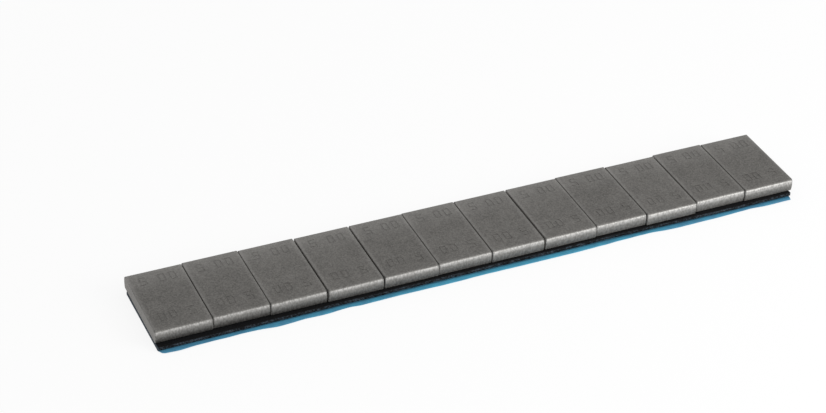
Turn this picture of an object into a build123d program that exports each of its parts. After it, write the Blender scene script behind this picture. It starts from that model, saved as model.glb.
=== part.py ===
from build123d import *

import os

# Stick-on wheel balance weight: a row of coated steel segments on one foam tape with a release liner.
# The strip lies along X with the segments up and the liner's lower face on z = 0.
# The origin is under the middle of the row of segments. Sizes are in millimetres.

# Steel segments, each cut to 5 g from rolled bar with bulging sides and rounded long edges
segment_length = 11.65
segment_width = 19.4
segment_height = 2.85
side_bulge = 0.2
top_edge_radius = 0.6
foot_edge_radius = 0.3
cut_edge_chamfer = 0.1

# How far each segment sits behind (+) or in front of (-) the row's middle line, left to right
sideways_shift = (0.05, 0.25, 0.05, -0.15, -0.15, 0.0, -0.1, -0.05, 0.15, -0.15, 0.25, 0.05)
# Gap between each segment and the next, left to right
gaps = (0.2, 0.15, 0.35, 0.35, 0.15, 0.2, 0.4, 0.15, 0.2, 0.3, 0.2)

# Stamped mark, the segment's mass in grams as two noughts and a five along both long edges
digit_height = 2.6
digit_width = 1.5
nought_gap = 0.7
five_gap = 2.4
digit_stroke = 0.35
digit_chamfer = 0.25
bowl_height = 1.5
front_mark_distance = 4.15
back_mark_distance = 3.35
mark_depth = 0.05

# Foam tape, laid slightly forward and askew under the row
tape_thickness = 0.8
tape_front_margin = 0.65
tape_back_inset = 1.05
tape_left_inset = 0.1
tape_right_inset = 0.85
tape_skew = 0.3

# Release liner, cut with the tape and wider than it along the front
liner_thickness = 0.1
liner_front_overhang = 1.35
liner_corner_radius = 1.2

# Sizes that follow from the ones above
flat_half_width = segment_width / 2 - side_bulge
row_length = len(sideways_shift) * segment_length + sum(gaps)
tape_left = tape_left_inset - row_length / 2
tape_length = row_length - tape_left_inset - tape_right_inset
tape_front = -segment_width / 2 - tape_front_margin
tape_width = segment_width + tape_front_margin - tape_back_inset
tape_foot = liner_thickness
segment_foot = tape_foot + tape_thickness
segment_top = segment_foot + segment_height
nought_pitch = digit_width + nought_gap
five_pitch = digit_width + five_gap
mark_reach = (nought_pitch + five_pitch) / 2

os.makedirs("parts", exist_ok=True)

# The mark's two digits, each drawn around its own centre
with BuildSketch() as nought:
    Rectangle(digit_width, digit_height)
    chamfer(nought.vertices(), digit_chamfer)
    Rectangle(digit_width - 2 * digit_stroke, digit_height - 2 * digit_stroke, mode=Mode.SUBTRACT)

with BuildSketch() as five:
    with Locations((0, -digit_height / 2)):
        Rectangle(digit_width, bowl_height, align=(Align.CENTER, Align.MIN))
    chamfer(five.vertices().group_by(Axis.X)[-1], digit_chamfer)
    with Locations((-digit_width / 2, digit_stroke - digit_height / 2)):
        Rectangle(
            digit_width - digit_stroke,
            bowl_height - 2 * digit_stroke,
            align=(Align.MIN, Align.MIN),
            mode=Mode.SUBTRACT,
        )
    with Locations((-digit_width / 2, digit_height / 2)):
        Rectangle(digit_stroke, digit_height - bowl_height, align=(Align.MIN, Align.MAX))
        Rectangle(digit_width, digit_stroke, align=(Align.MIN, Align.MAX))

# The mark is a pair of noughts and a five set apart from them, around its own centre
with BuildSketch() as mark:
    with Locations((-mark_reach, 0), (nought_pitch - mark_reach, 0)):
        add(nought.sketch)
    with Locations((mark_reach, 0)):
        add(five.sketch)

# Segments, from the left end of the row
left_end = -row_length / 2
for number, (shift, gap_after) in enumerate(zip(sideways_shift, gaps + (0,)), start=1):
    cut_end = Plane((left_end, shift, segment_foot), x_dir=(0, 1, 0), z_dir=(1, 0, 0))
    top = Plane((left_end + segment_length / 2, shift, segment_top))
    with BuildPart() as segment:
        with BuildSketch(cut_end) as bar_section:
            with BuildLine():
                foot = Line((-flat_half_width, 0), (flat_half_width, 0))
                back = ThreePointArc(
                    foot @ 1,
                    (segment_width / 2, segment_height / 2),
                    (flat_half_width, segment_height),
                )
                crown = Line(back @ 1, (-flat_half_width, segment_height))
                ThreePointArc(crown @ 1, (-segment_width / 2, segment_height / 2), foot @ 0)
            make_face()
            fillet(bar_section.vertices().group_by(Axis.Y)[0], foot_edge_radius)
            fillet(bar_section.vertices().group_by(Axis.Y)[-1], top_edge_radius)
        extrude(amount=segment_length)
        chamfer(segment.faces().filter_by(Axis.X).edges(), cut_edge_chamfer)
        with BuildSketch(top):
            with Locations((0, front_mark_distance - segment_width / 2)):
                add(mark.sketch)
            with Locations((0, segment_width / 2 - back_mark_distance)):
                add(mark.sketch, rotation=180)
        extrude(amount=-mark_depth, mode=Mode.SUBTRACT)
    segment.part.label = f"weight_segment_{number:02d}"
    export_step(segment.part, f"parts/{segment.part.label}.step")
    left_end += segment_length + gap_after

# Foam tape under the whole row
with BuildPart() as foam_tape:
    with BuildSketch(Plane.XY.offset(tape_foot).rotated((0, 0, tape_skew))):
        with Locations((tape_left, tape_front)):
            Rectangle(tape_length, tape_width, align=(Align.MIN, Align.MIN))
    extrude(amount=tape_thickness)
foam_tape.part.label = "foam_tape"
export_step(foam_tape.part, "parts/foam_tape.step")

# Release liner, flush with the tape at the back and both ends
with BuildPart() as release_liner:
    with BuildSketch(Plane.XY.rotated((0, 0, tape_skew))) as liner_outline:
        with Locations((tape_left, tape_front - liner_front_overhang)):
            Rectangle(tape_length, tape_width + liner_front_overhang, align=(Align.MIN, Align.MIN))
        front_left = liner_outline.vertices().group_by(Axis.Y)[0].sort_by(Axis.X)[0]
        fillet(front_left, liner_corner_radius)
    extrude(amount=liner_thickness)
release_liner.part.label = "release_liner"
export_step(release_liner.part, "parts/release_liner.step")
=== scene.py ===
import math

import bmesh
import bpy
from mathutils import Matrix, Vector, noise


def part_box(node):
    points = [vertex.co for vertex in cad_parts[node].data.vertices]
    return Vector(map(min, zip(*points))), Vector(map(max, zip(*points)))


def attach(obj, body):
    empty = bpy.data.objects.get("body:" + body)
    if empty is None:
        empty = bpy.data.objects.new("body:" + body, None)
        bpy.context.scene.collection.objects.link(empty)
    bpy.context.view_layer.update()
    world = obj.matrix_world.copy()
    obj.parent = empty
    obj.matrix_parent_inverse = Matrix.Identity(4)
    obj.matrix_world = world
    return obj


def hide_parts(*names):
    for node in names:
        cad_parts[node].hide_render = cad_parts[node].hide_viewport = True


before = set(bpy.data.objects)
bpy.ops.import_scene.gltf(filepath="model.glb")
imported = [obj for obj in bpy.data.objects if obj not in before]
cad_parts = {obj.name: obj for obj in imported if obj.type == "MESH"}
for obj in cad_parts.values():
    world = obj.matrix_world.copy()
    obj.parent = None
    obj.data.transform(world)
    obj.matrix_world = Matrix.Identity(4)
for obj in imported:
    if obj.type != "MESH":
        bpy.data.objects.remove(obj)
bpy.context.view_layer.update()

# Foam tape
# The carrier of the strip: one length of black double-sided foam under all the segments.
# It is slit from a roll and cut with the row, so its edges wander a little and show torn cells.
MM = 0.001
COLUMN_STEP = 0.5 * MM
EDGE_WANDER = 0.08 * MM
EDGE_WANDER_LENGTH = 7 * MM
FRONT_WANDER_SEED = 1
BACK_WANDER_SEED = 2
EDGE_TEAR = 0.09 * MM
EDGE_TEAR_LENGTH = 0.8 * MM
FRONT_TEAR_SEED = 3
BACK_TEAR_SEED = 4
# How far the foam swells out past its cut at each end
LEFT_BULGE = 0.1 * MM
RIGHT_BULGE = 0.25 * MM
# Places along the front edge and how far forward of a straight line it is cut there, in millimetres
TAPE_CUT = (
    (0, 0.08), (50, -0.08), (72, -0.12), (84, 0.0), (98, -0.16),
    (106, 0.0), (117, 0.2), (127, 0.34), (142, 0.25),
)
# The cut edge from its middle to its rim: share of the half height, and how far it is pulled in
EDGE_SECTION = ((0.1, 0.0), (0.45, 0.005 * MM), (0.8, 0.03 * MM), (1.0, 0.1 * MM))
# Where the upper and lower faces have points, from either edge
FACE_POINTS = (0.3 * MM, 0.6 * MM, 4 * MM)

# The tape's own axes, because it lies slightly askew under the row
tape_corners = [vertex.co.copy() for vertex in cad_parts["foam_tape"].data.vertices]
front_left = min((c for c in tape_corners if c.x < 0), key=lambda c: c.y).xy
back_left = max((c for c in tape_corners if c.x < 0), key=lambda c: c.y).xy
front_right = min((c for c in tape_corners if c.x > 0), key=lambda c: c.y).xy
along = (front_right - front_left).normalized().to_3d()
across = Vector((-along.y, along.x, 0))
tape_origin = front_left.to_3d()
tape_length = (front_right - front_left).length
tape_width = (back_left - front_left).length
tape_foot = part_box("foam_tape")[0].z
tape_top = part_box("foam_tape")[1].z


def strip_point(u, v, z):
    """The point u along the tape and v across it from its front left corner, at height z."""
    return tape_origin + along * u + across * v + Vector((0, 0, z))


def uneven(amount, length, seed, *place):
    """A smooth unevenness of that amount and wave length at a place, the same each time."""
    spot = [p / length for p in place] + [0.0] * (2 - len(place)) + [seed]
    return amount * noise.noise(Vector(spot))


def soft_step(share):
    """0 below 0, 1 above 1, and an even S between them."""
    share = min(max(share, 0.0), 1.0)
    return share * share * (3 - 2 * share)


def cut_forward(cut, u):
    """How far forward of its straight line a front edge is cut at u, going softly from place to place."""
    for (start_at, first), (end_at, second) in zip(cut, cut[1:]):
        if u <= end_at * MM:
            share = soft_step((u / MM - start_at) / (end_at - start_at))
            return (first + (second - first) * share) * MM
    return cut[-1][1] * MM


SHARP_ANGLE = 45


def ring_piece(name, rings, material):
    """A closed mesh through rings along the strip, each out along one face and back on the other."""
    around = len(rings[0])
    mesh = bmesh.new()
    rows = [[mesh.verts.new(point) for point in ring] for ring in rings]
    for row, following in zip(rows, rows[1:]):
        for i in range(around):
            mesh.faces.new((row[i], row[i - 1], following[i - 1], following[i]))
    for row in (rows[0], rows[-1]):
        for i in range(around // 2 - 1):
            mesh.faces.new((row[i], row[i + 1], row[around - 2 - i], row[around - 1 - i]))
    bmesh.ops.recalc_face_normals(mesh, faces=mesh.faces)
    data = bpy.data.meshes.new(name)
    mesh.to_mesh(data)
    mesh.free()
    data.shade_smooth()
    data.set_sharp_from_angle(angle=math.radians(SHARP_ANGLE))
    data.materials.append(material)
    piece = bpy.data.objects.new(name, data)
    bpy.context.scene.collection.objects.link(piece)
    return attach(piece, "root")


class Wire:
    """One socket in a node tree. Arithmetic on wires adds Math nodes, and node() adds any other node."""

    def __init__(self, tree, socket=None):
        self.tree = tree
        self.socket = socket

    def node(self, kind, settings=None, sockets=None, output=0):
        """Adds a node, sets its settings, then gives its sockets their values or links."""
        added = self.tree.nodes.new("ShaderNode" + kind)
        for name, value in (settings or {}).items():
            setattr(added, name, value)
        for name, value in (sockets or {}).items():
            if isinstance(value, Wire):
                self.tree.links.new(value.socket, added.inputs[name])
            else:
                added.inputs[name].default_value = value
        return Wire(self.tree, added.outputs[output] if added.outputs else None)

    def math(self, operation, first, second=0.0):
        """A Math node on two wires or numbers."""
        return self.node("Math", {"operation": operation}, {0: first, 1: second})

    def __add__(self, other):
        return self.math("ADD", self, other)

    __radd__ = __add__

    def __sub__(self, other):
        return self.math("SUBTRACT", self, other)

    def __rsub__(self, other):
        return self.math("SUBTRACT", other, self)

    def __mul__(self, other):
        return self.math("MULTIPLY", self, other)

    __rmul__ = __mul__

    def smooth(self, start, end):
        """0 at start, 1 at end, with a soft step between them."""
        settings = {"interpolation_type": "SMOOTHSTEP"}
        return self.node("MapRange", settings, {"Value": self, "From Min": start, "From Max": end})

    def mix(self, first, second):
        """From the first colour to the second as this wire goes from 0 to 1."""
        return self.node("Mix", {"data_type": "RGBA"}, {0: self, 6: first, 7: second}, 2)

    def axis(self, name):
        """One coordinate of this place."""
        return self.node("SeparateXYZ", None, {0: self}, name)

    def cloud(self, size, detail=2.0):
        """Noise from 0 to 1 on this place, in patches of that size."""
        return self.node("TexNoise", None, {"Vector": self, "Scale": 1 / size, "Detail": detail})


def new_material(name):
    """A material with an empty node tree, and the wire that its nodes start from."""
    material = bpy.data.materials.new(name)
    material.use_nodes = True
    material.node_tree.nodes.clear()
    return material, Wire(material.node_tree)


def strip_place(place, direction):
    """How far a place in a shader lies along one of the tape's own axes, from its front left corner."""
    reach = place.node("VectorMath", {"operation": "DOT_PRODUCT"}, {0: place, 1: direction}, "Value")
    return reach - tape_origin.dot(direction)


FOAM_BLACK = (0.004, 0.004, 0.0045, 1)
FOAM_GREY = (0.057, 0.073, 0.090, 1)
FOAM_CELL = 0.3 * MM
FOAM_PATCH = 1.5 * MM
PIT_DEPTH = 0.08 * MM
# Grey dust on the cut edge: heights above the foot where it starts and is full, and where it ends again
DUST_STARTS = (0.02 * MM, 0.2 * MM)
DUST_ENDS = (0.82 * MM, 0.62 * MM)
DUST_ON_PATCHES = 0.6
DUST_ON_CELLS = 0.5
DUST_SPREAD = (0.42, 0.85)
DUST_ON_LEFT_END = 0.8
LEFT_END = (0.1 * MM, -LEFT_BULGE)

black_foam, start = new_material("black_foam")
place = start.node("TexCoord", output="Object")
cells = start.node("TexVoronoi", None, {"Vector": place, "Scale": 1 / FOAM_CELL})
patches = place.cloud(FOAM_PATCH)
height = place.axis("Z") - tape_foot
cut_middle = height.smooth(*DUST_STARTS) * height.smooth(*DUST_ENDS)
at_left_end = strip_place(place, along).smooth(*LEFT_END)
dusty = (patches * DUST_ON_PATCHES + cells * DUST_ON_CELLS).smooth(*DUST_SPREAD) * cut_middle
pitted = start.node("Bump", None, {"Strength": 0.7, "Distance": PIT_DEPTH, "Height": cells + patches})
foam_sockets = {
    "Base Color": (dusty + at_left_end * DUST_ON_LEFT_END).mix(FOAM_BLACK, FOAM_GREY),
    "Roughness": 0.85,
    "Specular IOR Level": 0.15,
    "Normal": pitted,
}
start.node("OutputMaterial", None, {"Surface": start.node("BsdfPrincipled", None, foam_sockets)})

half_height = (tape_top - tape_foot) / 2
tape_middle = tape_foot + half_height
tape_columns = round(tape_length / COLUMN_STEP)
tape_rings = []
for column in range(tape_columns + 1):
    u = (tape_length + LEFT_BULGE + RIGHT_BULGE) * column / tape_columns - LEFT_BULGE
    front = uneven(EDGE_WANDER, EDGE_WANDER_LENGTH, FRONT_WANDER_SEED, u) - cut_forward(TAPE_CUT, u)
    back = tape_width + uneven(EDGE_WANDER, EDGE_WANDER_LENGTH, BACK_WANDER_SEED, u)
    halves = []
    for way in (-1, 1):
        chain = []
        for share, pulled in EDGE_SECTION:
            z = tape_middle + way * share * half_height
            torn = uneven(EDGE_TEAR, EDGE_TEAR_LENGTH, FRONT_TEAR_SEED, u, z)
            chain.append((front + pulled + torn, z))
        face = tape_middle + way * half_height
        chain += [(v, face) for v in FACE_POINTS]
        chain += [(tape_width - v, face) for v in reversed(FACE_POINTS)]
        for share, pulled in reversed(EDGE_SECTION):
            z = tape_middle + way * share * half_height
            torn = uneven(EDGE_TEAR, EDGE_TEAR_LENGTH, BACK_TEAR_SEED, u, z)
            chain.append((back - pulled + torn, z))
        halves.append([strip_point(u, v, z) for v, z in chain])
    tape_rings.append(halves[0] + halves[1][::-1])

foam_strip = ring_piece("foam_strip", tape_rings, black_foam)
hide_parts("foam_tape")

# Release liner
# The blue peel-off film on the tape's lower side, a thin translucent plastic sheet.
# It is wider than the tape along the front, where its cut edge waves and lifts off the table in places.
CORNER_RADIUS = 1.3 * MM
# Places along the front edge and how far forward of a straight line it is cut there, in millimetres
FILM_CUT = (
    (0, -0.1), (4, 0.1), (9, -0.2), (18, -0.25), (24.5, 0.22), (30, -0.04), (33.5, 0.15), (39, -0.22),
    (42, 0.02), (60, 0.0), (90, 0.14), (96, 0.0), (100, -0.16), (107, -0.18), (111.5, 0.2), (121, 0.25),
    (131, 0.0), (135.5, 0.28), (142, 0.4),
)
LIFT = 0.14 * MM
LIFT_LENGTH = 11 * MM
LIFT_SEED = 5
CRINKLE = 0.05 * MM
CRINKLE_LENGTH = 2.5 * MM
CRINKLE_SEED = 6
CORNER_CURL = 0.15 * MM
CURL_LENGTH = 7 * MM
# The right end is cut slightly askew: how far its front corner falls short, and over what length
END_SLANT = 0.5 * MM
END_SLANT_LENGTH = 3 * MM
# Points across the margin in front of the tape, and the first point under the tape from either edge
MARGIN_POINTS = 8
FIRST_UNDER_TAPE = 0.5 * MM

liner_low, liner_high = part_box("release_liner")
film_thickness = liner_high.z - liner_low.z
liner_points = [vertex.co - tape_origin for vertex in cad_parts["release_liner"].data.vertices]
liner_front = min(p.dot(across) for p in liner_points)
liner_back = max(p.dot(across) for p in liner_points)
liner_left = min(p.dot(along) for p in liner_points)
liner_right = max(p.dot(along) for p in liner_points)


def film_edge(u):
    """The film's front edge at u: its straight line, the wave of the cut and the rounded left corner."""
    short_of_corner = max(CORNER_RADIUS - (u - liner_left), 0.0)
    corner = CORNER_RADIUS - math.sqrt(CORNER_RADIUS**2 - short_of_corner**2)
    return liner_front - cut_forward(FILM_CUT, u) + corner


def film_lift(u, v):
    """How far the film stands off the table: flat under the tape, waving and curled beyond it."""
    beyond = max(-v, u - tape_length) / -liner_front
    wave = LIFT + uneven(LIFT, LIFT_LENGTH, LIFT_SEED, u)
    wave += uneven(CRINKLE, CRINKLE_LENGTH, CRINKLE_SEED, u)
    curl = CORNER_CURL * soft_step((u - liner_right) / CURL_LENGTH + 1)
    return max(wave + curl, 0.0) * soft_step(beyond)


FILM_BLUE = (0.076, 0.264, 0.420, 1)
FILM_BRIGHT = (0.086, 0.420, 0.610, 1)
FILM_SHADED = (0.012, 0.050, 0.085, 1)
FILM_BACKED = (0.090, 0.290, 0.425, 1)
FILM_BENT = (0.130, 0.360, 0.500, 1)
FILM_MOTTLE = 2.5 * MM
FILM_CREASE = 1.2 * MM
CREASE_DEPTH = 0.05 * MM
FILM_ROUGHNESS = 0.3
CREASE_ROUGHNESS = 0.16
# Across the tape: where the film is free of it, and where the tape's edge shades the film
FREE_OF_TAPE = (0.2 * MM, -0.6 * MM)
SHADE_STARTS = (-0.42 * MM, 0.0)
SHADE_ENDS = (0.4 * MM, 0.1 * MM)
SHADE = 0.6
# Along the tape: where its edge comes forward and by how much, and where light comes through the film
EDGE_TURNS = (98 * MM, 127 * MM)
EDGE_FORWARD = 0.32 * MM
LIGHT_STARTS = (15 * MM, 75 * MM)
LIGHT_ENDS = (130 * MM, 80 * MM)
LIGHT = 0.8
MOTTLE_SPREAD = (0.3, 0.7)
MOTTLE = 0.6
# The faint pale line at each gap, where the strip bends
BEND_WIDTH = 0.25 * MM
BEND = 0.5

blue_film, start = new_material("blue_film")
place = start.node("TexCoord", output="Object")
across_tape = strip_place(place, across)
from_left = strip_place(place, along)
free_of_tape = across_tape.smooth(*FREE_OF_TAPE)
tape_edge = from_left.smooth(*EDGE_TURNS) * -EDGE_FORWARD
at_tape_edge = (across_tape - tape_edge).smooth(*SHADE_STARTS) * across_tape.smooth(*SHADE_ENDS)
lit_through = from_left.smooth(*LIGHT_STARTS) * from_left.smooth(*LIGHT_ENDS)
mottled = place.cloud(FILM_MOTTLE).smooth(*MOTTLE_SPREAD) * MOTTLE
segment_names = sorted(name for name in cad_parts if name.startswith("weight_segment"))
bent = 0.0
for name, following in zip(segment_names, segment_names[1:]):
    gap = (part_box(name)[1].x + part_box(following)[0].x) / 2
    bent = bent + start.math("ABSOLUTE", place.axis("X") - gap).smooth(BEND_WIDTH, 0.0)
margin_colour = (mottled + lit_through * LIGHT).smooth(0.0, MOTTLE + LIGHT).mix(FILM_BLUE, FILM_BRIGHT)
backed_colour = (bent * BEND).mix(FILM_BACKED, FILM_BENT)
film_colour = free_of_tape.mix(backed_colour, margin_colour)
creases = place.cloud(FILM_CREASE)
creased = start.node("Bump", None, {"Strength": 0.3, "Distance": CREASE_DEPTH, "Height": creases})
film_sockets = {
    "Base Color": (at_tape_edge * SHADE).mix(film_colour, FILM_SHADED),
    "Roughness": creases * CREASE_ROUGHNESS + FILM_ROUGHNESS,
    "Normal": creased,
}
start.node("OutputMaterial", None, {"Surface": start.node("BsdfPrincipled", None, film_sockets)})

film_columns = round((liner_right - liner_left) / COLUMN_STEP)
film_rings = []
for column in range(film_columns + 1):
    u = liner_left + (liner_right - liner_left) * column / film_columns
    edge = film_edge(u)
    margin = [edge * (1 - i / MARGIN_POINTS) for i in range(MARGIN_POINTS)]
    under_tape = [0.0, FIRST_UNDER_TAPE, liner_back / 2, liner_back - FIRST_UNDER_TAPE, liner_back]
    slant = END_SLANT * soft_step((u - liner_right) / END_SLANT_LENGTH + 1) / liner_front
    lower = [strip_point(u - slant * min(v, 0.0), v, film_lift(u, v)) for v in margin + under_tape]
    upper = [point + Vector((0, 0, film_thickness)) for point in lower]
    film_rings.append(lower + upper[::-1])

liner_film = ring_piece("liner_film", film_rings, blue_film)
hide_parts("release_liner")
film_flat = (liner_back - liner_front, liner_right - liner_left)

# Steel segments
# Twelve 5 g blocks sheared from rolled bar, stamped near both long edges and then coated all over.
# The coat is a thin grey metal-flake paint with a fine grain, a little worn along the rims; painted
# highlights and sheen lighten its edges, sides and tops, and painted shade darkens its feet, marks and
# corners.
COAT_DARK = (0.094, 0.090, 0.084, 1)
COAT_LIGHT = (0.215, 0.207, 0.194, 1)
# Light bare metal for the worn rims and for the painted highlights, sheen and light
COAT_WORN_AND_LIT = (0.55, 0.54, 0.52, 1)
# A near black for the painted shade
COAT_SHADED = (0.035, 0.034, 0.032, 1)
GRAIN = 0.3 * MM
GRAIN_DETAIL = 3
GRAIN_DEPTH = 0.03 * MM
DRIFT = 4 * MM
STREAK = 0.22 * MM
SPECKLE = 0.32 * MM
SPECKLE_SPREAD = (0.34, 0.66)
# Streaks and speckle are drawn out upwards on the sides
DRAWN_OUT = (1, 1, 0.55)
# What makes up the coat's tone, from dark to light
TONE_OF_GRAIN = 0.6
TONE_OF_DRIFT = 0.14
TONE_OF_STREAKS = 0.3
TONE_OF_BATCH = 0.03
TONE_SPREAD = (0.18, 0.645)
COAT_ROUGHNESS = 0.56
GRAIN_ROUGHNESS = 0.12
EDGE_POLISH = 0.2
# How far the row's painted light and shade change to either side of its middle
ROW_REACH = 60 * MM

# Where each shade on a segment starts and where it is full: first by depth below the top
MARK = (0.025 * MM, 0.05 * MM)
BELOW_TOP = (0.1 * MM, 0.5 * MM)
NEAR_TOP = (0.6 * MM, 0.2 * MM)
EDGE_STARTS = (0.1 * MM, 0.38 * MM)
EDGE_ENDS = (1.35 * MM, 0.55 * MM)
EDGE_NARROWS = 0.3 * MM
CORNER_ENDS = (0.8 * MM, 0.5 * MM)
FOOT = (0.4 * MM, 2.6 * MM)
# Then by distance from the long sides
BACK_BAND = (8.5 * MM, -1 * MM)
SIDE_FACE = (0.5 * MM, 0.1 * MM)
SIDE_EDGE = (0.8 * MM, 0.6 * MM)
SIDE_CORNER = (1.1 * MM, 0.5 * MM)
SIDE_RIM = (1.6 * MM, 0.3 * MM)
INSIDE_SIDES = (0.9 * MM, 1.1 * MM)
# Then by distance from the cut ends
END_RIM = (1.0 * MM, 0.0)
END_CORNER = (0.4 * MM, 0.05 * MM)
OFF_END_FACE = (0.0, 0.12 * MM)
INSIDE_ENDS = (0.5 * MM, 0.7 * MM)

# How much the coat is lightened: a little by wear along the rims, and otherwise by painted highlight,
# sheen and light
END_HIGHLIGHT = 0.12
RIM_RUB = 0.03
BACK_SHEEN = 0.145
BACK_SHEEN_LEFT = 0.04
EDGE_WEAR_AND_HIGHLIGHT = 0.33
EDGE_WEAR_AND_HIGHLIGHT_MIDDLE = 0.07
EDGE_WEAR_AND_HIGHLIGHT_SPECKLE = 0.34
SIDE_LIGHT = 0.04
SIDE_LIGHT_SPECKLE = 0.22
# How much it is darkened by painted shade
MARK_SHADE = 0.04
MARK_SHADE_BACK = 0.08
FOOT_SHADE = 0.57
FOOT_SHADE_LEFT = 0.36
FOOT_SHADE_MIDDLE = 0.1
FOOT_SHADE_SPECKLE = 0.14
CORNER_SHADE = 0.45

segment_low, segment_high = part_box(segment_names[0])
segment_size = segment_high - segment_low
coated_steel, start = new_material("coated_steel")
place = start.node("TexCoord", output="Object")
share = start.node("TexCoord", output="Generated")
from_left = share.axis("X") * segment_size.x
from_front = share.axis("Y") * segment_size.y
from_back = segment_size.y - from_front
below_top = (1 - share.axis("Z")) * segment_size.z
from_end = start.math("MINIMUM", from_left, segment_size.x - from_left)
from_side = start.math("MINIMUM", from_front, from_back)
to_left = place.axis("X").smooth(ROW_REACH, -ROW_REACH)
to_middle = to_left * (1 - to_left) * 4
to_back = from_back.smooth(*BACK_BAND) * below_top.smooth(*NEAR_TOP)

# The coat's own tone
grain = place.cloud(GRAIN, GRAIN_DETAIL)
drift = place.cloud(DRIFT)
upright = start.node("Mapping", None, {"Vector": place, "Scale": DRAWN_OUT})
streaks = upright.cloud(STREAK) * below_top.smooth(*BELOW_TOP)
speckle = upright.cloud(SPECKLE).smooth(*SPECKLE_SPREAD)
batch = start.node("ObjectInfo", output="Random")
tone = grain * TONE_OF_GRAIN + drift * TONE_OF_DRIFT + streaks * TONE_OF_STREAKS + batch * TONE_OF_BATCH

# Lighter places: a little wear along the rims, painted highlights along the cut ends and most of all the
# long top edges, a painted sheen on the back of the tops, and painted light on the sides
on_side = from_side.smooth(*SIDE_FACE)
# A painted highlight along the cut ends, kept off the long sides
end_highlight = from_end.smooth(*END_RIM) * (END_HIGHLIGHT - on_side * END_HIGHLIGHT)
rim_rub = from_side.smooth(*SIDE_RIM) * RIM_RUB
# A painted sheen on the back of the tops, stronger towards the left end
back_sheen = to_back * (to_left * BACK_SHEEN_LEFT + BACK_SHEEN)
# A painted highlight along the long top edges, with a little wear; its band reaches less far down towards
# the left end and is strongest near the middle
edge_band_reach = (below_top + to_left * EDGE_NARROWS).smooth(*EDGE_ENDS)
on_edge = below_top.smooth(*EDGE_STARTS) * edge_band_reach * from_side.smooth(*SIDE_EDGE)
edge_wear_and_highlight = on_edge * (speckle * EDGE_WEAR_AND_HIGHLIGHT_SPECKLE + to_middle * EDGE_WEAR_AND_HIGHLIGHT_MIDDLE + EDGE_WEAR_AND_HIGHLIGHT)
# The sides painted lighter than the tops, as painted light, with a speckle
side_light_and_speckle = on_side * (speckle * SIDE_LIGHT_SPECKLE + SIDE_LIGHT)
wear_and_light = end_highlight + rim_rub + back_sheen + edge_wear_and_highlight + side_light_and_speckle

# Painted shade: in the stamped marks, towards the foot of the sides and at the top corners beside the
# gaps
in_mark = below_top.smooth(*MARK) * from_end.smooth(*INSIDE_ENDS) * from_side.smooth(*INSIDE_SIDES)
at_foot = below_top.smooth(*FOOT) * from_end.smooth(*OFF_END_FACE)
# Painted shade towards the foot of the sides, deeper towards the left end, lighter near the row's middle
# and broken by the speckle
foot_shade = to_left * FOOT_SHADE_LEFT + FOOT_SHADE - to_middle * FOOT_SHADE_MIDDLE
foot_shade = foot_shade - speckle * FOOT_SHADE_SPECKLE
# Painted shade at the top corners beside the gaps, where the edge highlight falls away
at_corner = from_end.smooth(*END_CORNER) * from_side.smooth(*SIDE_CORNER) * below_top.smooth(*CORNER_ENDS)
# Painted shade in the stamped marks, deeper towards the back of the tops
mark_shade = to_back * MARK_SHADE_BACK + MARK_SHADE
painted_shade = in_mark * mark_shade + at_foot * foot_shade + at_corner * CORNER_SHADE

coat = wear_and_light.mix(tone.smooth(*TONE_SPREAD).mix(COAT_DARK, COAT_LIGHT), COAT_WORN_AND_LIT)
grainy = start.node("Bump", None, {"Strength": 0.5, "Distance": GRAIN_DEPTH, "Height": grain + streaks})
coat_sockets = {
    "Base Color": painted_shade.mix(coat, COAT_SHADED),
    "Metallic": 0.4,
    "Roughness": grain * GRAIN_ROUGHNESS + COAT_ROUGHNESS - on_edge * EDGE_POLISH,
    "Specular IOR Level": 0.3,
    "Normal": grainy,
}
start.node("OutputMaterial", None, {"Surface": start.node("BsdfPrincipled", None, coat_sockets)})

for name in segment_names:
    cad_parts[name].material_slots[0].material = coated_steel

# Floor
# A plain white table under the strip. It looks white to the camera and still takes the strip's shadow.
# It lies a hair below the liner, so that the two faces never coincide.
FLOOR_SIZE = 3.0
FLOOR_DROP = 0.02 * MM
FLOOR_WHITE = (0.95, 0.95, 0.95, 1)
FLOOR_GLOW = 0.85

white_table, start = new_material("white_table")
camera_ray = start.node("LightPath", output="Is Camera Ray")
glossy_ray = start.node("LightPath", output="Is Glossy Ray")
through_ray = start.node("LightPath", output="Is Transmission Ray")
seen = (camera_ray + glossy_ray + through_ray).smooth(0, 1)
table = start.node("BsdfDiffuse", None, {"Color": FLOOR_WHITE})
glow = start.node("Emission", None, {"Color": (1, 1, 1, 1), "Strength": 1.0})
floor_shader = start.node("MixShader", None, {0: seen * FLOOR_GLOW, 1: table, 2: glow})
start.node("OutputMaterial", None, {"Surface": floor_shader})

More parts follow.
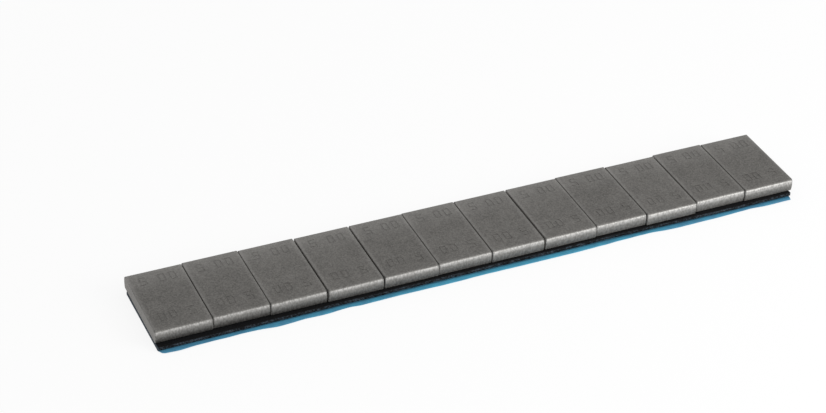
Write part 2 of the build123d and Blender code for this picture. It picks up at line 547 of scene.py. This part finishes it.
half = FLOOR_SIZE / 2
floor_corners = [(x * half, y * half, -FLOOR_DROP) for x, y in ((-1, -1), (1, -1), (1, 1), (-1, 1))]
floor_mesh = bpy.data.meshes.new("floor")
floor_mesh.from_pydata(floor_corners, [], [(0, 1, 2, 3)])
floor_mesh.materials.append(white_table)
floor = bpy.data.objects.new("floor", floor_mesh)
bpy.context.scene.collection.objects.link(floor)

# Light
# An even pale surround and one large soft lamp in front of the strip on the right.
# The lamp, together with the highlight painted into the coat, gives the bright line along the front
# edges, and it gives a faint shadow at the back.
SURROUND = 0.75
KEY_PLACE = (0.27, -0.25, 0.14)
KEY_SIZE = 0.26
KEY_POWER = 0.95

world = bpy.data.worlds.new("surround")
world.use_nodes = True
world.node_tree.nodes.clear()
start = Wire(world.node_tree)
surround = start.node("Background", None, {"Color": (1, 1, 1, 1), "Strength": SURROUND})
start.node("OutputWorld", None, {"Surface": surround})
bpy.context.scene.world = world

key = bpy.data.objects.new("key", bpy.data.lights.new("key", "AREA"))
key.data.shape = "SQUARE"
key.data.size = KEY_SIZE
key.data.energy = KEY_POWER
key.visible_camera = False
key.location = KEY_PLACE
key.rotation_euler = (-Vector(KEY_PLACE)).to_track_quat("-Z", "Y").to_euler()
bpy.context.scene.collection.objects.link(key)

# Camera
# The photograph's view: from the front left, looking down on the strip.
# The camera is rolled a little, and its lens is given in pixels of the image's width.
CAMERA_PLACE = (-0.16120, -0.31250, 0.25422)
AZIMUTH = -25.28
ELEVATION = 35.02
ROLL = 2.32
IMAGE_WIDTH = 826
FOCAL_LENGTH_PIXELS = 2105.5
SENSOR_WIDTH = 36
NEAREST_SEEN = 0.01

camera = bpy.data.objects.new("camera", bpy.data.cameras.new("camera"))
camera.data.sensor_width = SENSOR_WIDTH
camera.data.lens = FOCAL_LENGTH_PIXELS / IMAGE_WIDTH * SENSOR_WIDTH
camera.data.clip_start = NEAREST_SEEN
turn = Matrix.Rotation(math.radians(AZIMUTH), 4, "Z")
tilt = Matrix.Rotation(math.radians(90 - ELEVATION), 4, "X")
roll = Matrix.Rotation(math.radians(ROLL), 4, "Z")
camera.matrix_world = Matrix.Translation(CAMERA_PLACE) @ turn @ tilt @ roll
bpy.context.scene.collection.objects.link(camera)
bpy.context.scene.camera = camera
bpy.context.scene.view_settings.view_transform = "Standard"
